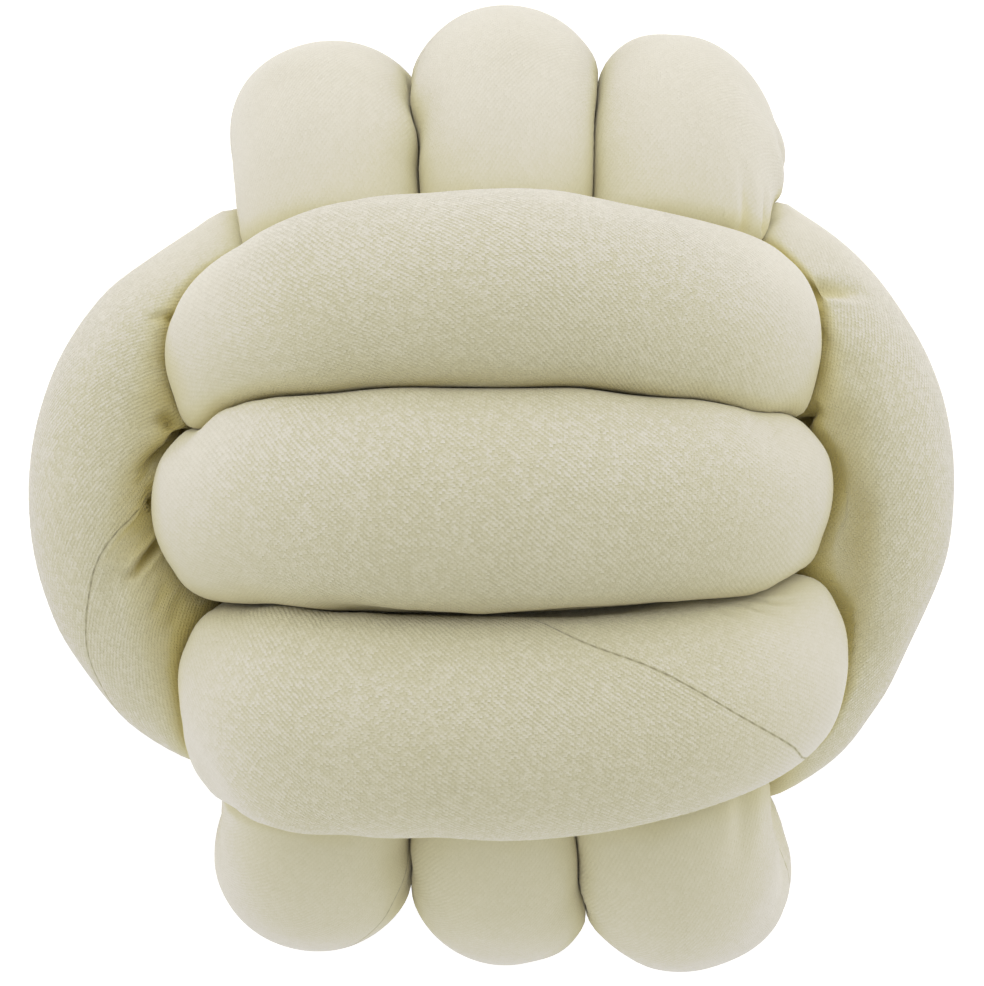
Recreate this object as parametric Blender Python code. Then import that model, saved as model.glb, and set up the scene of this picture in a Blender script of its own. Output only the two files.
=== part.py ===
"""Knot cushion: one long stuffed tube of stretch knit, wound as a ball.

The tube makes three coils of three turns, each around the next: the fingers stand out at
both ends of Y, the band lies over them above and below, and the arcs pass around the band
at both ends of X. The two ends of the tube meet inside, so that it is a closed ring.

Metres, +Z up. The cushion lies on its back on z = 0, with its middle above the origin.
"""

import math
from typing import NamedTuple

import bpy
import numpy as np

NAME = "knot_cushion"
NODE = "knot_tube"
MM = 0.001

# The ball
MIDDLE_HEIGHT = 132.0 * MM  # of the ball's middle above the surface that it rests on
WAIST = 56.0  # mm from a coil's middle line to its long sides, where they are hidden
PINCH = 0.52  # how far the turns close up there
NEAR_SHARE = 0.8  # how far the tube has moved on to its next turn by there
BEND_SHARE = 0.4  # how far it has moved to a leg's place in the stack, halfway round a bend

# The stuffing
OUTER_GAP = 1.5 * MM  # clearance between the facets of turns that press on each other
INNER_GAP = 3.8 * MM  # the same near the middle, where they cross at sharp angles
FIRMNESS = 14.0  # how sharply a round section turns into a flattened contact
PACKING = 0.8  # how much further a run inside the ball swells towards its middle
INNER_REACH = 56.0 * MM  # a run is wholly inside the ball up to here, and outside at twice it
SWELL_CORE = 20.0 * MM  # around the middle, from where no way is inwards
LEAST_REACH = 1.0 * MM
TAUTENINGS = 3  # passes that draw in the cloth's peaks
PEAK = 1.03  # the most that a corner may stand out, as a share of the mean around it
INNER_PEAK = 1.4  # the same inside the ball

# The facets
STATIONS = 412  # cross sections along the tube
SIDES = 12  # corners of a cross section
SAMPLES = 1600  # points of the tube's middle line that a section is fitted against
OWN_RUN = 9.0 * MM  # of the tube to each side of a section, which don't press on it
CURVE_STEPS = 40  # measured between two points of the route
TINY = 1e-9

# The cloth
KNIT_COLOUR = (0.70, 0.68, 0.53, 1.0)
KNIT_ROUGHNESS = 0.95


class Bight(NamedTuple):
    """Where the tube rounds an end of its coil, in millimetres: the stuffed radius, the tip's
    place in the stack and reach from the ball's middle, the length of the bend along the
    coil, and each leg's distance from the coil's middle line and place in the stack."""

    radius: float
    stack: float
    reach: float
    bend: float
    near: float
    near_stack: float
    far: float
    far_stack: float


class Coil(NamedTuple):
    """Three turns of two bights, in the order of the tube's travel. A coil's own axes are
    stack, long and short, and roll brings them to X, Y and Z. Far legs join the two bights
    of a turn, and along the near legs the tube goes on to the next turn. near_side and
    first_end are signs along short and long. lead is the way in from the coil before, as
    points on X, Y and Z from the ball's middle, in millimetres."""

    roll: int
    near_side: int
    first_end: int
    bights: tuple
    lead: tuple


FINGERS = Coil(
    roll=0,
    near_side=-1,
    first_end=-1,
    bights=(
        Bight(30.5, -53.0, 107.0, 52.0, 58.0, -38.0, 58.0, -39.0),
        Bight(27.5, -49.0, 106.5, 52.0, 58.0, -18.0, 58.0, -38.0),
        Bight(28.5, 2.5, 112.5, 52.0, 58.0, 2.0, 58.0, 3.0),
        Bight(28.5, 4.5, 115.0, 52.0, 58.0, 12.0, 58.0, 3.0),
        Bight(33.0, 56.0, 110.0, 52.0, 58.0, 40.0, 58.0, 41.0),
        Bight(29.5, 57.0, 106.5, 52.0, 58.0, 38.0, 58.0, 42.0),
    ),
    lead=((24, 49, 33), (4, 26, 18), (-11, 2, -10), (-26, -22, -38)),
)
BAND = Coil(
    roll=1,
    near_side=1,
    first_end=1,
    bights=(
        Bight(31.0, -55.0, 104.0, 46.0, 69.0, -44.0, 60.0, -51.0),
        Bight(30.0, -56.0, 105.5, 46.0, 64.0, -20.0, 64.0, -44.0),
        Bight(30.5, 7.5, 105.0, 46.0, 66.0, 3.0, 66.0, 1.0),
        Bight(30.0, 0.0, 106.0, 46.0, 66.0, 12.0, 66.0, 0.0),
        Bight(28.0, 61.5, 104.0, 46.0, 66.0, 46.0, 64.0, 45.0),
        Bight(29.5, 56.0, 105.5, 46.0, 63.0, 47.0, 64.0, 44.0),
    ),
    lead=((39, 20, -56), (42, -8, -52), (49, -30, -38), (55, -38, -10), (59, -39, 20)),
)
ARCS = Coil(
    roll=2,
    near_side=1,
    first_end=-1,
    bights=(
        Bight(29.0, -52.0, 102.0, 50.0, 57.0, -36.0, 58.0, -34.0),
        Bight(29.0, -52.0, 102.0, 55.0, 62.0, -16.0, 60.0, -34.0),
        Bight(29.0, 0.0, 106.0, 46.0, 58.0, 0.0, 58.0, 0.0),
        Bight(29.0, 0.0, 106.0, 55.0, 63.0, 10.0, 60.0, 0.0),
        Bight(29.0, 50.0, 102.0, 43.0, 53.0, 34.0, 55.0, 34.0),
        Bight(29.0, 50.0, 102.5, 55.0, 66.0, 36.0, 61.0, 32.0),
    ),
    lead=((54, 58, -38), (26, 60, -31), (-6, 58, -30)),
)
COILS = (FINGERS, BAND, ARCS)


def leg_rows(coil, bight, end, near):
    """Stack, long and short coordinates and radius: a leg, and halfway round its bend."""
    side = coil.near_side if near else -coil.near_side
    across = side * (bight.near if near else bight.far)
    leg_stack = bight.near_stack if near else bight.far_stack
    part = math.sin(math.pi / 4.0)
    stack = bight.stack + (leg_stack - bight.stack) * BEND_SHARE
    halfway = bight.reach - bight.bend * (1.0 - part)
    return [
        (leg_stack, end * (bight.reach - bight.bend), across, bight.radius),
        (stack, end * halfway, across * part, bight.radius),
    ]


def bight_rows(coil, number):
    """Rows round one bight, from the leg that the tube arrives by to the other."""
    bight = coil.bights[number]
    end = coil.first_end * (-1) ** number
    arrives_near = number % 2 == 0
    arriving = leg_rows(coil, bight, end, arrives_near)
    leaving = leg_rows(coil, bight, end, not arrives_near)
    return arriving + [(bight.stack, end * bight.reach, 0.0, bight.radius)] + leaving[::-1]


def waist_row(coil, number):
    """The row between one bight and the next, where other coils hide the tube."""
    before, after = coil.bights[number], coil.bights[number + 1]
    near = number % 2 == 1
    side = coil.near_side if near else -coil.near_side
    share = NEAR_SHARE if near else 0.5
    stack = before.stack + (after.stack - before.stack) * share
    return (PINCH * stack, 0.0, side * WAIST, (before.radius + after.radius) / 2.0)


def coil_route(coil):
    """X, Y, Z and radius along a coil and its lead, in millimetres."""
    local = bight_rows(coil, 0)
    for number in range(len(coil.bights) - 1):
        local.append(waist_row(coil, number))
        local += bight_rows(coil, number + 1)
    route = [(*point, coil.bights[0].radius) for point in coil.lead]
    return route + [(*np.roll(row[:3], coil.roll), row[3]) for row in local]


def ring_through(rows, count):
    """Values at even steps on a smooth closed curve through the rows."""
    size = len(rows)
    ring = 4.0 * np.eye(size) + np.roll(np.eye(size), 1, 0) + np.roll(np.eye(size), -1, 0)
    poles = np.linalg.solve(ring, 6.0 * rows)
    time = np.arange(count) * size / count
    span = time.astype(int)
    t = (time - span)[:, None]
    a, b, c, d = (poles[(span + shift) % size] for shift in (-1, 0, 1, 2))
    curve = a * (1.0 - t) ** 3 + b * (3.0 * t**3 - 6.0 * t**2 + 4.0)
    curve += c * (-3.0 * t**3 + 3.0 * t**2 + 3.0 * t + 1.0) + d * t**3
    return curve / 6.0


def middle_line(count):
    """Evenly spaced points of the tube's middle line, their radii and their places along
    it, with the tube's length."""
    route = np.array([row for coil in COILS for row in coil_route(coil)]) * MM
    curve = ring_through(route, CURVE_STEPS * len(route))
    curve = np.vstack((curve, curve[:1]))
    steps = np.linalg.norm(np.diff(curve[:, :3], axis=0), axis=1)
    along = np.concatenate(([0.0], np.cumsum(steps)))
    spots = np.arange(count) * along[-1] / count
    even = np.stack([np.interp(spots, along, column) for column in curve.T], axis=1)
    return even[:, :3], even[:, 3], spots, along[-1]


def section_axes(centres):
    """Two axes across the tube at each station, carried along it with only the twist that
    brings the last station back to the first."""
    tangents = np.roll(centres, -1, 0) - np.roll(centres, 1, 0)
    tangents /= np.linalg.norm(tangents, axis=1, keepdims=True)
    side = np.cross(tangents[0], (0.0, 0.0, 1.0))
    sides = [side / np.linalg.norm(side)]
    for tangent in np.vstack((tangents[1:], tangents[:1])):
        side = sides[-1] - tangent * (sides[-1] @ tangent)
        sides.append(side / np.linalg.norm(side))
    last = sides.pop()
    twist = math.atan2(np.cross(last, sides[0]) @ tangents[0], last @ sides[0])
    sides = np.array(sides)
    ups = np.cross(tangents, sides)
    turned = (np.arange(len(sides)) * twist / len(sides))[:, None]
    return (
        sides * np.cos(turned) + ups * np.sin(turned),
        ups * np.cos(turned) - sides * np.sin(turned),
    )


def section_reach(centre, radius, inside, others, directions):
    """How far one section reaches: a round tube, swollen inwards inside the ball, pressed
    flat halfway to any other run."""
    inwards = -(directions @ centre) / (np.linalg.norm(centre) + SWELL_CORE)
    free = radius * (1.0 + PACKING * inside * np.maximum(inwards, 0.0))
    offsets = others - centre
    facing = 2.0 * directions @ offsets.T
    halfway = (offsets**2).sum(axis=1) / np.maximum(facing, TINY)
    gap = OUTER_GAP + (INNER_GAP - OUTER_GAP) * inside
    contact = np.maximum(halfway.min(axis=1) - gap / 2.0, LEAST_REACH)
    return (free**-FIRMNESS + contact**-FIRMNESS) ** (-1.0 / FIRMNESS)


def pressed_reach(centres, radii, spots, length, directions):
    """How far every section reaches in each direction, its peaks drawn in."""
    others, _, other_spots, _ = middle_line(SAMPLES)
    inside = np.clip(2.0 - np.abs(centres).max(axis=1) / INNER_REACH, 0.0, 1.0)
    reach = np.empty(directions.shape[:2])
    for station, (centre, radius) in enumerate(zip(centres, radii)):
        apart = np.abs(other_spots - spots[station])
        pressing = others[np.minimum(apart, length - apart) > OWN_RUN]
        ways = directions[station]
        reach[station] = section_reach(centre, radius, inside[station], pressing, ways)
    peaks = (PEAK + (INNER_PEAK - PEAK) * inside)[:, None]
    for _ in range(TAUTENINGS):
        around = sum(np.roll(reach, step, axis) for step in (-1, 1) for axis in (0, 1)) / 4.0
        reach = np.minimum(reach, peaks * around)
    return reach


def tube_corners():
    """Corners of every section, flattened where the cushion lies on the surface."""
    centres, radii, spots, length = middle_line(STATIONS)
    sides, ups = section_axes(centres)
    angles = (np.arange(SIDES) * 2.0 * math.pi / SIDES)[None, :, None]
    directions = sides[:, None] * np.cos(angles) + ups[:, None] * np.sin(angles)
    reach = pressed_reach(centres, radii, spots, length, directions)
    drop = np.maximum(-directions[:, :, 2], TINY)
    to_surface = (centres[:, None, 2] + MIDDLE_HEIGHT) / drop
    corners = centres[:, None] + directions * np.minimum(reach, to_surface)[:, :, None]
    corners[:, :, 2] += MIDDLE_HEIGHT
    corners[reach >= to_surface, 2] = 0.0
    return corners


def knit():
    """The tube's cloth."""
    material = bpy.data.materials.new("cream_knit")
    material.use_nodes = True
    material.diffuse_color = KNIT_COLOUR
    shader = material.node_tree.nodes["Principled BSDF"]
    shader.inputs["Base Color"].default_value = KNIT_COLOUR
    shader.inputs["Roughness"].default_value = KNIT_ROUGHNESS
    shader.inputs["Metallic"].default_value = 0.0
    return material


def knot_tube():
    """The stuffed tube: its sections, all unlike, lofted into a closed ring."""
    faces = []
    for station in range(STATIONS):
        here, there = station * SIDES, (station + 1) % STATIONS * SIDES
        for side in range(SIDES):
            beside = (side + 1) % SIDES
            faces.append((here + side, here + beside, there + beside, there + side))
    mesh = bpy.data.meshes.new(NODE)
    mesh.from_pydata(tube_corners().reshape(-1, 3).tolist(), [], faces)
    mesh.shade_smooth()
    mesh.materials.append(knit())
    return bpy.data.objects.new(NODE, mesh)


def main():
    """Clears the scene and builds the cushion in a collection of its own."""
    for item in list(bpy.data.objects):
        bpy.data.objects.remove(item, do_unlink=True)
    collection = bpy.data.collections.new(NAME)
    bpy.context.scene.collection.children.link(collection)
    collection.objects.link(knot_tube())


main()
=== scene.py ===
"""Knot cushion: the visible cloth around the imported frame.

One long stuffed tube of cream stretch knit is wound as a ball: three turns of fingers that
stand out at both ends of Y, a band of three strands over them above and below, and three
arcs around the band at both ends of X. Metres, +Z up, the cushion lying on its back.
"""

import logging
import math
from dataclasses import dataclass, field
from enum import Enum
from typing import Optional

import bmesh
import bpy
import numpy as np
from mathutils import Matrix, Vector, noise
from mathutils.bvhtree import BVHTree


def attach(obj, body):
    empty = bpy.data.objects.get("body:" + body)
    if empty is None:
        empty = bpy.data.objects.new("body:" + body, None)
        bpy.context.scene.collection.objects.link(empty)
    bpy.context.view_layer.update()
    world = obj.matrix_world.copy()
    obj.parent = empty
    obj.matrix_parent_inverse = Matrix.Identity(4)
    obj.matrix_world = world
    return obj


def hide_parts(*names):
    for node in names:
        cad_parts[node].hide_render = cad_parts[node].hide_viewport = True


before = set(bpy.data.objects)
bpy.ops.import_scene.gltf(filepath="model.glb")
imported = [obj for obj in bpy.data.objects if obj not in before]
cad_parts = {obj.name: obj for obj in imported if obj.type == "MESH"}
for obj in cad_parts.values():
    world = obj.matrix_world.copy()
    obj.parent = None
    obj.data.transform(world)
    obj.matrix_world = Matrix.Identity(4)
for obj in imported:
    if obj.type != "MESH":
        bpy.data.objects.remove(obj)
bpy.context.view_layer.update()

log = logging.getLogger("knot_cushion")

MM = 0.001
TINY = 1e-9
TURN = 2.0 * math.pi
WHITE = (1.0, 1.0, 1.0, 1.0)
MIDDLE = Vector((0.0, 0.0, 132.0 * MM))  # of the ball, above the spot that it lies on
GIRTH = 183.0 * MM  # of the cloth round the tube
FOLD_STEP = 0.5  # mm or less between the points that follow a fold


class CoilName(Enum):
    """The three coils, by how they look from the front."""

    FINGERS = "fingers"
    BAND = "band"
    ARCS = "arcs"


@dataclass(frozen=True)
class Bight:
    """Where the tube rounds an end of its coil, in millimetres.

    The stuffed radius, the tip's place in the stack and reach from the ball's middle, the
    length of the bend along the coil, each leg's distance from the coil's middle line and
    place in the stack, and the legs' radius where it isn't the tip's.
    """

    radius: float
    stack: float
    reach: float
    bend: float
    near: float
    near_stack: float
    far: float
    far_stack: float
    leg_radius: Optional[float] = None


@dataclass(frozen=True)
class Coil:
    """Three turns of two bights each, in the order of the tube's travel.

    The coil's own axes are stack, long and short, and roll brings them to X, Y and Z. Along
    the near legs the tube goes on to the next turn. lead is the way in from the coil before.
    """

    name: CoilName
    roll: int
    near_side: int
    first_end: int
    bights: tuple[Bight, ...]
    lead: tuple[tuple[float, float, float], ...]

    def end(self, bight: int) -> int:
        """The sign of the end of the coil that a bight rounds."""
        return self.first_end * (-1) ** bight


@dataclass(frozen=True)
class Place:
    """A stretch of the tube: one bight of one coil."""

    coil: CoilName
    bight: int


@dataclass(frozen=True)
class Crease:
    """A soft fold of the cloth, in millimetres from the ball's middle.

    It is deepest at the first point of its path and dies out at the last, or halfway
    between the two where it is even. A fold of one point is a dimple.
    """

    place: Place
    path: tuple[tuple[float, float, float], ...]
    width: float
    depth: float
    lip: float = 0.0  # how far the cloth stands up beside the fold
    even: bool = False

    def steps(self) -> list[np.ndarray]:
        """The path as points at small steps.

        Returns:
            The points, in metres from the ball's middle.
        """
        path = np.array(self.path, dtype=float)
        spots = [path[0]]
        for start, end in zip(path, path[1:]):
            count = math.ceil(np.linalg.norm(end - start) / FOLD_STEP)
            spots += [start + (end - start) * (step + 1) / count for step in range(count)]
        return [spot * MM for spot in spots]


@dataclass(frozen=True)
class Nudge:
    """A pull that shifts all the cloth around a point, fading out, in millimetres."""

    point: tuple[float, float, float]
    shift: tuple[float, float, float]
    reach: float


@dataclass(frozen=True)
class SeamMark:
    """A point that the tube's lengthwise seam passes, in millimetres from the middle.

    Without a point, the seam lies along the inner side of the whole bight, out of sight.
    """

    place: Place
    point: Optional[tuple[float, float, float]] = None


# A bight's numbers: radius, stack, reach and bend, the near leg's distance and stack, the
# far leg's distance and stack, and the legs' radius
FINGERS = Coil(
    CoilName.FINGERS,
    roll=0,
    near_side=-1,
    first_end=-1,
    bights=(
        Bight(30.5, -53, 107, 52, 58, -38, 58, -41, 29),
        Bight(29.2, -47.8, 106.5, 52, 58, -18, 58, -38, 28.5),
        Bight(28.5, 3.5, 112.5, 52, 58, 2, 58, 3),
        Bight(29.3, 4, 115.5, 52, 58, 12, 58, 4, 28.5),
        Bight(33, 56.5, 110, 52, 58, 40, 58, 41, 32.3),
        Bight(29.5, 55, 106.5, 52, 58, 38, 58, 45),
    ),
    lead=((24, 49, 33), (4, 26, 18), (-11, 2, -10), (-26, -22, -38)),
)
BAND = Coil(
    CoilName.BAND,
    roll=1,
    near_side=1,
    first_end=1,
    bights=(
        Bight(32.5, -53, 103, 46, 71.5, -40.5, 57.5, -47.5, 31.5),
        Bight(30, -56, 105.5, 46, 64, -20, 64, -44),
        Bight(34, 7, 103.5, 46, 68.4, 6.5, 67.9, 1.5, 28.5),
        Bight(30, 0, 106, 46, 66, 12, 66, 0),
        Bight(29.5, 60, 98, 44, 65, 43, 62.5, 39, 31),
        Bight(29.5, 56, 105.5, 46, 63, 47, 64, 44),
    ),
    lead=((39, 20, -56), (42, -8, -52), (49, -30, -38), (55, -38, -10), (59, -39, 20)),
)
ARCS = Coil(
    CoilName.ARCS,
    roll=2,
    near_side=1,
    first_end=-1,
    bights=(
        Bight(29, -52, 102, 50, 57, -36, 58, -34),
        Bight(29, -52, 102, 55, 62, -16, 60, -34),
        Bight(29, 0, 106, 46, 56, 0, 56, 0),
        Bight(29, 0, 106, 55, 63, 10, 60, 0),
        Bight(29, 50, 102.5, 46, 57, 34, 52, 34),
        Bight(29, 50, 102, 64, 70, 36, 64, 31),
    ),
    lead=((54, 58, -38), (26, 60, -31), (-6, 58, -30)),
)

LOWER_STRAND = Place(CoilName.BAND, 0)
MIDDLE_STRAND = Place(CoilName.BAND, 2)
UPPER_STRAND = Place(CoilName.BAND, 4)
LEFT_ARC = Place(CoilName.ARCS, 4)
RIGHT_ARC = Place(CoilName.ARCS, 5)
UPPER_RIGHT_FINGER = Place(CoilName.FINGERS, 5)
LOWER_RIGHT_FINGER = Place(CoilName.FINGERS, 4)

SEAM_MARKS: tuple[SeamMark, ...] = (
    SeamMark(LOWER_STRAND, (88, -68, 88)),
    SeamMark(LOWER_STRAND, (81, -61.5, 101)),
    SeamMark(LOWER_STRAND, (66, -50.5, 118)),
    SeamMark(LOWER_STRAND, (44.5, -37.5, 125)),
    SeamMark(LOWER_STRAND, (23, -29, 124)),
    SeamMark(LOWER_STRAND, (5, -24.5, 112)),
    SeamMark(LEFT_ARC, (-95.5, 3, 74)),
    SeamMark(LEFT_ARC, (-103, -4, 78)),
    SeamMark(LEFT_ARC, (-109.5, -14, 77)),
    SeamMark(LEFT_ARC, (-112.5, -24, 73.5)),
    SeamMark(LEFT_ARC, (-113.5, -36, 68)),
    SeamMark(LEFT_ARC, (-113, -43, 63.5)),
    SeamMark(MIDDLE_STRAND),
    SeamMark(UPPER_STRAND),
    SeamMark(RIGHT_ARC),
    SeamMark(Place(CoilName.FINGERS, 1), (-60, 118, -24)),
    SeamMark(Place(CoilName.FINGERS, 3), (10, 125, -24)),
    SeamMark(Place(CoilName.FINGERS, 5)),
    SeamMark(Place(CoilName.FINGERS, 0), (-56, -118, -26)),
    SeamMark(Place(CoilName.FINGERS, 2)),
    SeamMark(Place(CoilName.FINGERS, 4), (60, -122, -28)),
)
# Point, shift and reach
NUDGES: tuple[Nudge, ...] = (
    # Between the upper and the middle strand
    Nudge((-34, 36, 112), (0, 0.9, 0), 22),
    Nudge((-62, 32, 101), (0, 2.2, 0), 26),
    Nudge((-84, 25, 84), (0, -3.3, 0), 15),
    Nudge((2, 35, 120), (0, -0.8, 0), 22),
    Nudge((74, 28, 100), (0, -0.9, 0), 9),
    Nudge((46, 34, 112), (0, -1.2, 0), 24),
    Nudge((76, 29, 98), (0, -2.9, 0), 26),
    Nudge((88, 27, 78), (0, -2.3, 0), 14),
    # Between the middle and the lower strand
    Nudge((-63, -24, 102), (0, 2.4, 0), 26),
    Nudge((-78, -25, 84), (-3, 1.6, 0), 16),
    Nudge((-86, -34, 76), (-2.2, 0.3, 0), 20),
    Nudge((73, -19, 97), (0, -2.2, 0), 22),
    Nudge((86, -17, 82), (2.4, 0, 0), 14),
    Nudge((95, -25, 76), (1.5, 0.8, 0), 16),
    Nudge((86, -24, 84), (0, 1, 0), 14),
    Nudge((60, -21, 110), (0, -0.8, 0), 16),
    Nudge((-38, -22, 115), (0, 0.8, 0), 14),
    Nudge((97, -50, 65), (-1.3, 0, 0), 22),
    Nudge((-87, -76, 66), (-3.6, -3, 0), 20),
    Nudge((-76, -80, 68), (-0.6, -2.8, 0), 16),
    Nudge((-71, -79, 79), (0, -3.2, 0), 17),
    Nudge((-60, -77, 95), (0, -5.2, 0), 26),
    Nudge((-38, -81, 107), (0, -2.6, 0), 26),
    # Top of the upper strand
    Nudge((-60, 82, 98), (0, 3.2, 0), 26),
    Nudge((-38, 88, 105), (0, 2.6, 0), 26),
    Nudge((20, 91, 108), (0, 0.7, 0), 24),
    # Upper fingers
    Nudge((78, 124, 4), (-1.9, -0.6, 0), 30),
    Nudge((80, 117, 30), (-1, -0.8, 0), 24),
    Nudge((86, 97, 18), (1.8, 0, 0), 16),
    Nudge((81, 95, 37), (2, 0, 0), 18),
    Nudge((40, 131, 10), (0, 1.8, 0), 16),
    Nudge((-57, 133, 2), (0, -1.6, 0), 33),
    Nudge((-76, 101, 22), (0.6, 0, 0), 18),
    Nudge((-21, 107, 56), (1.4, 0, 0), 14),
    Nudge((-23, 119, 40), (-0.8, 0, 0), 12),
    Nudge((30, 106, 55), (-0.6, 0, 0), 25),
    # Lower fingers
    Nudge((-23, -97, 62), (-1.8, 0, 0), 20),
    Nudge((24, -98, 68), (1.1, 0, 0), 22),
    Nudge((27, -120, 40), (1.3, 0, 0), 24),
    Nudge((-74, -90, 35), (1.2, 0, 0), 16),
    Nudge((-23, -112, 45), (-1, 0, 0), 14),
    Nudge((-81, -95, 8), (0.9, 0, 0), 22),
    Nudge((85, -91, 20), (-4.4, 0, 0), 34),
    Nudge((88, -110, 8), (1.3, 0, 0), 17),
    Nudge((22, -134, 14), (0.6, -1.2, 0), 14),
    Nudge((34, -132, 22), (0.8, 1.3, 0), 16),
    Nudge((83, -128, 16), (1.2, -0.6, 0), 20),
    # Arcs
    Nudge((-97, 50, 73), (0, 0, 2.5), 22),
    Nudge((-91, -38, 74), (0, 0, 1.8), 20),
    Nudge((-92, 74, 50), (1, -1.9, 0), 24),
    Nudge((-97, 75, 0), (0.8, -1.8, 0), 26),
    Nudge((-77, 85, 41), (0, 1.3, 0), 13),
    Nudge((-118, 42, 52), (-0.9, 0.3, 0), 34),
    Nudge((-115, -50, 50), (0.7, 0.4, 0), 20),
    Nudge((103, 71, 44), (0.5, 0.4, 0), 26),
    Nudge((125, 35, 52), (1.4, 0.5, 0), 44),
    Nudge((116, -42, 62), (-2.4, 1.6, 0), 34),
    Nudge((124, -33, 52), (-1.3, 0.5, 0), 30),
    Nudge((93, -74, 46), (1.2, -2.4, 0), 24),
    Nudge((82, -83, 46), (-3.4, -3.2, 0), 16),
)
# Strand, path, width, depth, lip and whether it is even
CREASES: tuple[Crease, ...] = (
    # Left arc, from its upper end down
    Crease(LEFT_ARC, ((-88, 54, 64), (-91, 54, 67), (-96, 53, 69)), 1.3, 1.8, 0.1),
    Crease(LEFT_ARC, ((-83, 19, 66), (-87, 23, 70), (-93, 28, 74)), 2.3, 7.5, 0.4),
    Crease(LEFT_ARC, ((-88, 18, 70), (-92, 15, 73), (-98, 12, 76)), 3.4, 4.5, 0.6),
    Crease(LEFT_ARC, ((-94, 3, 72), (-96, 2, 73)), 1.5, 4),
    Crease(LEFT_ARC, ((-93, -8, 71), (-96, -12, 75), (-99, -16.5, 77), (-103, -18.5, 78)), 1.2, 3.8, 0.9),
    Crease(LEFT_ARC, ((-104, -19, 77),), 5, 1.2),
    Crease(LEFT_ARC, ((-91, -20, 76), (-95, -30, 75)), 1.6, 0.7),
    Crease(LEFT_ARC, ((-87, -25, 74), (-91, -34, 74)), 1.6, 0.7),
    Crease(LEFT_ARC, ((-92, 50, 70), (-94, 36, 73)), 7, 1.8),
    Crease(LEFT_ARC, ((-93, 32, 73), (-95, 8, 77), (-94, -24, 75)), 8, 2.6, 0, True),
    # Right arc, from its upper end down
    Crease(RIGHT_ARC, ((76, 80, 55), (81, 82, 51), (84, 83, 50)), 3.5, 2.5, 0.5),
    Crease(RIGHT_ARC, ((88, 61, 66), (97, 62, 67), (107, 63, 64)), 2.9, 3),
    Crease(RIGHT_ARC, ((89, 57, 67), (97, 58, 68), (105, 58, 66)), 1.1, -0.9),
    Crease(RIGHT_ARC, ((92, 50, 70), (96, 42, 74)), 1.8, 0.6),
    Crease(RIGHT_ARC, ((84, 22, 67), (88, 27, 72), (91, 30, 75)), 2.2, 6.5, 0.3),
    Crease(RIGHT_ARC, ((93, 40, 72), (97, 5, 77), (101, -52, 68)), 9, 3.8, 0, True),
    Crease(RIGHT_ARC, ((99, 39, 74),), 6, 1.2),
    Crease(RIGHT_ARC, ((100, 24, 76),), 6, 1),
    Crease(RIGHT_ARC, ((102, 0, 78),), 6, 1.8),
    Crease(RIGHT_ARC, ((98, -10, 78),), 7, 1.2),
    Crease(RIGHT_ARC, ((102, -37, 73),), 8, 1.6),
    # Top right corner of the lower strand
    Crease(LOWER_STRAND, ((75, -21, 95), (82, -25, 89)), 1, 0.9, 0.3),
    Crease(LOWER_STRAND, ((70, -22, 100), (78, -27, 96)), 1, 0.8, 0.3),
    Crease(LOWER_STRAND, ((61, -22, 105), (70, -26, 103)), 1.2, 0.6, 0.2),
    # Fingers
    Crease(UPPER_RIGHT_FINGER, ((69, 79, 72), (70, 88, 70), (71, 99, 65)), 2.4, 1.3, 0.5),
    Crease(UPPER_RIGHT_FINGER, ((76, 79, 66), (78, 92, 60)), 1.6, 1, 0.4),
    Crease(UPPER_RIGHT_FINGER, ((84, 98, 30),), 6, 1.5, 0.6),
    Crease(LOWER_RIGHT_FINGER, ((69, -80, 75), (70, -90, 73), (70, -101, 70)), 4, 1.5, 0.3),
    # The two open gaps under the middle strand
    Crease(MIDDLE_STRAND, ((-56, -20, 108), (-28, -21, 114), (7, -22, 115)), 5, 2.1, 0, True),
    Crease(MIDDLE_STRAND, ((-13, -22, 115), (22, -22, 115), (48, -21, 109)), 5, 1.8, 0, True),
    Crease(MIDDLE_STRAND, ((36, -21, 112), (68, -20, 97)), 4, 0.8, 0, True),
    Crease(MIDDLE_STRAND, ((-3, -22, 115),), 6, -1),
    Crease(LOWER_STRAND, ((-52, -25, 96), (-28, -25, 103), (2, -25, 109)), 3.8, 2, 0, True),
    Crease(LOWER_STRAND, ((-6, -25, 109), (22, -25, 109), (48, -24, 103)), 3.8, 1.5, 0, True),
)


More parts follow.
